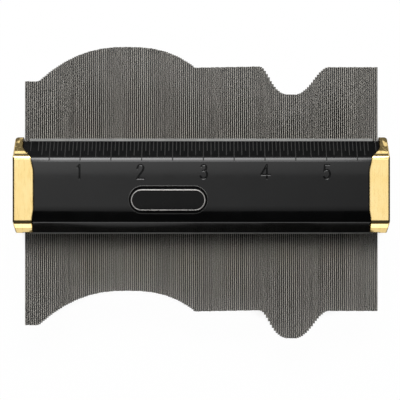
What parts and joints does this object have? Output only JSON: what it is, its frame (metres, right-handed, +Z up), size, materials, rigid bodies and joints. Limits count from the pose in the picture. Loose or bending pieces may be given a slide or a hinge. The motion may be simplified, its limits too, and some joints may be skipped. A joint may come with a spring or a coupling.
{
  "type": "contour gauge",
  "caption": "Contour gauge: a row of sliding steel pins between guide plates in an enamelled bevelled casing with a pressed inch scale and brass end caps, holding a moulding profile.",
  "frame": {"origin": "on the surface the gauge lies on, below the middle of its whole outline: the rear faces of the two end caps are at Z = 0", "axes": "+X along the casing to the right as seen from the front, +Y along the pins towards the side with the scale, +Z up through the front of the casing"},
  "size_m": [0.1552, 0.1214, 0.0162],
  "materials": {
    "enamel": "black baked enamel on pressed steel sheet, satin gloss",
    "brass": "bright brass-plated pressed sheet",
    "plate_steel": "bare rolled steel sheet with sheared edges",
    "pad_rubber": "matt sponge rubber strip",
    "block_steel": "plain steel spacer",
    "pin_steel": "drawn steel wire, dull, cut square"
  },
  "bodies": {
    "casing": {"front_casing": "enamel", "rear_casing": "enamel", "left_end_cap": "brass", "right_end_cap": "brass", "front_guide_plate": "plate_steel", "rear_guide_plate": "plate_steel", "front_pressure_pad": "pad_rubber", "rear_pressure_pad": "pad_rubber", "left_end_block": "block_steel", "right_end_block": "block_steel"},
    "pins_01": {"pins_01": "pin_steel"},
    "pins_02": {"pins_02": "pin_steel"},
    "pins_03": {"pins_03": "pin_steel"},
    "pins_04": {"pins_04": "pin_steel"},
    "pins_05": {"pins_05": "pin_steel"},
    "pins_06": {"pins_06": "pin_steel"},
    "pins_07": {"pins_07": "pin_steel"},
    "pins_08": {"pins_08": "pin_steel"},
    "pins_09": {"pins_09": "pin_steel"},
    "pins_10": {"pins_10": "pin_steel"},
    "pins_11": {"pins_11": "pin_steel"},
    "pins_12": {"pins_12": "pin_steel"},
    "pins_13": {"pins_13": "pin_steel"},
    "pins_14": {"pins_14": "pin_steel"},
    "pins_15": {"pins_15": "pin_steel"},
    "pins_16": {"pins_16": "pin_steel"},
    "pins_17": {"pins_17": "pin_steel"},
    "pins_18": {"pins_18": "pin_steel"},
    "pins_19": {"pins_19": "pin_steel"},
    "pins_20": {"pins_20": "pin_steel"},
    "pins_21": {"pins_21": "pin_steel"},
    "pins_22": {"pins_22": "pin_steel"},
    "pins_23": {"pins_23": "pin_steel"},
    "pins_24": {"pins_24": "pin_steel"},
    "pins_25": {"pins_25": "pin_steel"},
    "pins_26": {"pins_26": "pin_steel"},
    "pins_27": {"pins_27": "pin_steel"},
    "pins_28": {"pins_28": "pin_steel"},
    "pins_29": {"pins_29": "pin_steel"},
    "pins_30": {"pins_30": "pin_steel"},
    "pins_31": {"pins_31": "pin_steel"},
    "pins_32": {"pins_32": "pin_steel"},
    "pins_33": {"pins_33": "pin_steel"},
    "pins_34": {"pins_34": "pin_steel"},
    "pins_35": {"pins_35": "pin_steel"},
    "pins_36": {"pins_36": "pin_steel"},
    "pins_37": {"pins_37": "pin_steel"},
    "pins_38": {"pins_38": "pin_steel"},
    "pins_39": {"pins_39": "pin_steel"},
    "pins_40": {"pins_40": "pin_steel"},
    "pins_41": {"pins_41": "pin_steel"},
    "pins_42": {"pins_42": "pin_steel"},
    "pins_43": {"pins_43": "pin_steel"},
    "pins_44": {"pins_44": "pin_steel"},
    "pins_45": {"pins_45": "pin_steel"}
  },
  "joints": [
    {"name": "pins_01_slide", "type": "slide", "parent": "casing", "child": "pins_01", "axis": [0, 1, 0], "range_m": [-0.0239, 0.03805]},
    {"name": "pins_02_slide", "type": "slide", "parent": "casing", "child": "pins_02", "axis": [0, 1, 0], "range_m": [-0.02389, 0.03775]},
    {"name": "pins_03_slide", "type": "slide", "parent": "casing", "child": "pins_03", "axis": [0, 1, 0], "range_m": [-0.025, 0.03504]},
    {"name": "pins_04_slide", "type": "slide", "parent": "casing", "child": "pins_04", "axis": [0, 1, 0], "range_m": [-0.02773, 0.03262]},
    {"name": "pins_05_slide", "type": "slide", "parent": "casing", "child": "pins_05", "axis": [0, 1, 0], "range_m": [-0.02999, 0.03044]},
    {"name": "pins_06_slide", "type": "slide", "parent": "casing", "child": "pins_06", "axis": [0, 1, 0], "range_m": [-0.0321, 0.0288]},
    {"name": "pins_07_slide", "type": "slide", "parent": "casing", "child": "pins_07", "axis": [0, 1, 0], "range_m": [-0.03374, 0.02717]},
    {"name": "pins_08_slide", "type": "slide", "parent": "casing", "child": "pins_08", "axis": [0, 1, 0], "range_m": [-0.03513, 0.0261]},
    {"name": "pins_09_slide", "type": "slide", "parent": "casing", "child": "pins_09", "axis": [0, 1, 0], "range_m": [-0.03633, 0.02514]},
    {"name": "pins_10_slide", "type": "slide", "parent": "casing", "child": "pins_10", "axis": [0, 1, 0], "range_m": [-0.03704, 0.0245]},
    {"name": "pins_11_slide", "type": "slide", "parent": "casing", "child": "pins_11", "axis": [0, 1, 0], "range_m": [-0.03776, 0.02408]},
    {"name": "pins_12_slide", "type": "slide", "parent": "casing", "child": "pins_12", "axis": [0, 1, 0], "range_m": [-0.03803, 0.02386]},
    {"name": "pins_13_slide", "type": "slide", "parent": "casing", "child": "pins_13", "axis": [0, 1, 0], "range_m": [-0.03817, 0.02377]},
    {"name": "pins_14_slide", "type": "slide", "parent": "casing", "child": "pins_14", "axis": [0, 1, 0], "range_m": [-0.03814, 0.02379]},
    {"name": "pins_15_slide", "type": "slide", "parent": "casing", "child": "pins_15", "axis": [0, 1, 0], "range_m": [-0.03813, 0.02387]},
    {"name": "pins_16_slide", "type": "slide", "parent": "casing", "child": "pins_16", "axis": [0, 1, 0], "range_m": [-0.03774, 0.02411]},
    {"name": "pins_17_slide", "type": "slide", "parent": "casing", "child": "pins_17", "axis": [0, 1, 0], "range_m": [-0.03717, 0.02437]},
    {"name": "pins_18_slide", "type": "slide", "parent": "casing", "child": "pins_18", "axis": [0, 1, 0], "range_m": [-0.03641, 0.02514]},
    {"name": "pins_19_slide", "type": "slide", "parent": "casing", "child": "pins_19", "axis": [0, 1, 0], "range_m": [-0.03512, 0.02593]},
    {"name": "pins_20_slide", "type": "slide", "parent": "casing", "child": "pins_20", "axis": [0, 1, 0], "range_m": [-0.03365, 0.02727]},
    {"name": "pins_21_slide", "type": "slide", "parent": "casing", "child": "pins_21", "axis": [0, 1, 0], "range_m": [-0.03163, 0.02895]},
    {"name": "pins_22_slide", "type": "slide", "parent": "casing", "child": "pins_22", "axis": [0, 1, 0], "range_m": [-0.02965, 0.03096]},
    {"name": "pins_23_slide", "type": "slide", "parent": "casing", "child": "pins_23", "axis": [0, 1, 0], "range_m": [-0.02962, 0.0323]},
    {"name": "pins_24_slide", "type": "slide", "parent": "casing", "child": "pins_24", "axis": [0, 1, 0], "range_m": [-0.02968, 0.03227]},
    {"name": "pins_25_slide", "type": "slide", "parent": "casing", "child": "pins_25", "axis": [0, 1, 0], "range_m": [-0.02977, 0.03221]},
    {"name": "pins_26_slide", "type": "slide", "parent": "casing", "child": "pins_26", "axis": [0, 1, 0], "range_m": [-0.02983, 0.0321]},
    {"name": "pins_27_slide", "type": "slide", "parent": "casing", "child": "pins_27", "axis": [0, 1, 0], "range_m": [-0.02988, 0.03214]},
    {"name": "pins_28_slide", "type": "slide", "parent": "casing", "child": "pins_28", "axis": [0, 1, 0], "range_m": [-0.03, 0.03201]},
    {"name": "pins_29_slide", "type": "slide", "parent": "casing", "child": "pins_29", "axis": [0, 1, 0], "range_m": [-0.02996, 0.03201]},
    {"name": "pins_30_slide", "type": "slide", "parent": "casing", "child": "pins_30", "axis": [0, 1, 0], "range_m": [-0.0301, 0.0319]},
    {"name": "pins_31_slide", "type": "slide", "parent": "casing", "child": "pins_31", "axis": [0, 1, 0], "range_m": [-0.02702, 0.03216]},
    {"name": "pins_32_slide", "type": "slide", "parent": "casing", "child": "pins_32", "axis": [0, 1, 0], "range_m": [-0.02164, 0.03647]},
    {"name": "pins_33_slide", "type": "slide", "parent": "casing", "child": "pins_33", "axis": [0, 1, 0], "range_m": [-0.01895, 0.04139]},
    {"name": "pins_34_slide", "type": "slide", "parent": "casing", "child": "pins_34", "axis": [0, 1, 0], "range_m": [-0.01847, 0.04341]},
    {"name": "pins_35_slide", "type": "slide", "parent": "casing", "child": "pins_35", "axis": [0, 1, 0], "range_m": [-0.01844, 0.04339]},
    {"name": "pins_36_slide", "type": "slide", "parent": "casing", "child": "pins_36", "axis": [0, 1, 0], "range_m": [-0.019, 0.04133]},
    {"name": "pins_37_slide", "type": "slide", "parent": "casing", "child": "pins_37", "axis": [0, 1, 0], "range_m": [-0.02159, 0.0374]},
    {"name": "pins_38_slide", "type": "slide", "parent": "casing", "child": "pins_38", "axis": [0, 1, 0], "range_m": [-0.02572, 0.03369]},
    {"name": "pins_39_slide", "type": "slide", "parent": "casing", "child": "pins_39", "axis": [0, 1, 0], "range_m": [-0.02911, 0.03215]},
    {"name": "pins_40_slide", "type": "slide", "parent": "casing", "child": "pins_40", "axis": [0, 1, 0], "range_m": [-0.02978, 0.03225]},
    {"name": "pins_41_slide", "type": "slide", "parent": "casing", "child": "pins_41", "axis": [0, 1, 0], "range_m": [-0.02985, 0.03218]},
    {"name": "pins_42_slide", "type": "slide", "parent": "casing", "child": "pins_42", "axis": [0, 1, 0], "range_m": [-0.02976, 0.03222]},
    {"name": "pins_43_slide", "type": "slide", "parent": "casing", "child": "pins_43", "axis": [0, 1, 0], "range_m": [-0.02981, 0.03215]},
    {"name": "pins_44_slide", "type": "slide", "parent": "casing", "child": "pins_44", "axis": [0, 1, 0], "range_m": [-0.02978, 0.03218]},
    {"name": "pins_45_slide", "type": "slide", "parent": "casing", "child": "pins_45", "axis": [0, 1, 0], "range_m": [-0.02976, 0.03221]}
  ]
}
